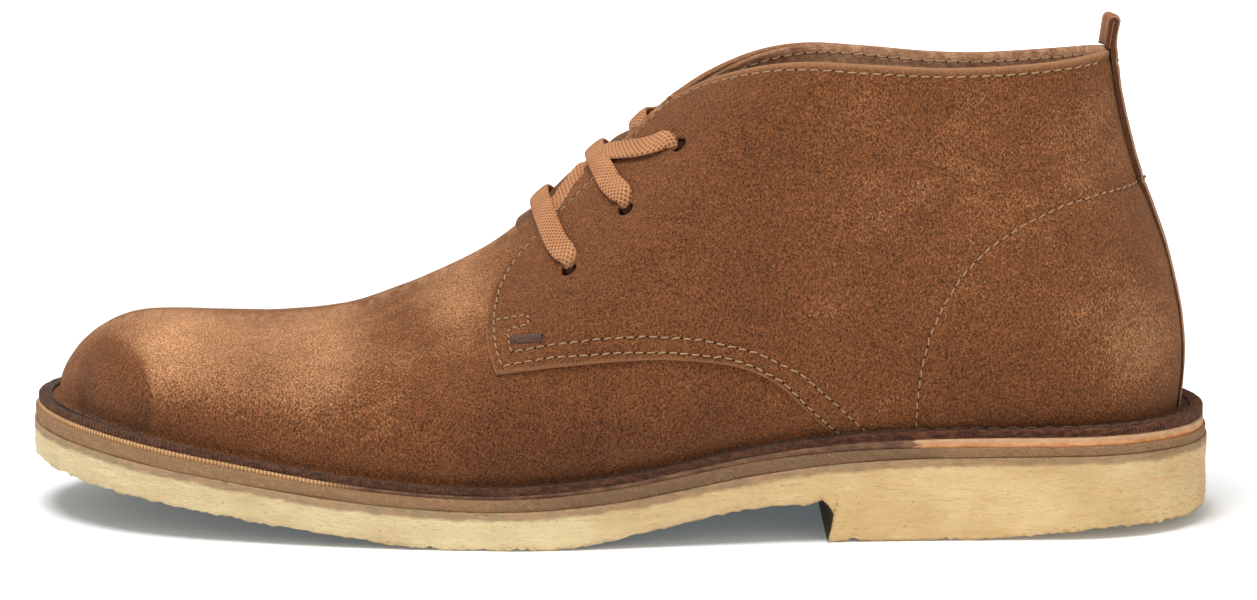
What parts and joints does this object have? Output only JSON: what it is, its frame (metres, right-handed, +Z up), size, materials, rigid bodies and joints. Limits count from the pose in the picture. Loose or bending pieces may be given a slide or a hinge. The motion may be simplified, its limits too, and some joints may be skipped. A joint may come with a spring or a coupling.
{
  "type": "desert boot",
  "caption": "Low ankle boot for the left foot with a plain rounded toe, two overlaid quarters, an open throat with flat laces, a heel pull loop and a thick crepe sole.",
  "frame": {"origin": "on the floor, at the middle of the sole's length and width, with the boot standing empty on its sole", "axes": "+Z up, -X towards the toe, +X towards the heel, -Y towards the outer side of the foot, +Y towards the inner side"},
  "size_m": [0.3, 0.1097, 0.1266],
  "materials": {
    "crepe": "matte natural crepe rubber",
    "midsole_board": "matte fibre leather board",
    "welt_leather": "satin edge of veg leather",
    "insole_leather": "matte leather",
    "suede": "short napped suede",
    "tongue_suede": "short napped suede",
    "strap_suede": "suede with raw cut edges",
    "lace_cotton": "flat woven cotton"
  },
  "bodies": {
    "root": {"outsole": "crepe", "midsole": "midsole_board", "welt": "welt_leather", "insole": "insole_leather", "upper": "suede", "tongue": "tongue_suede", "back_strap": "strap_suede", "lace_low": "lace_cotton", "lace_high": "lace_cotton"}
  },
  "joints": []
}
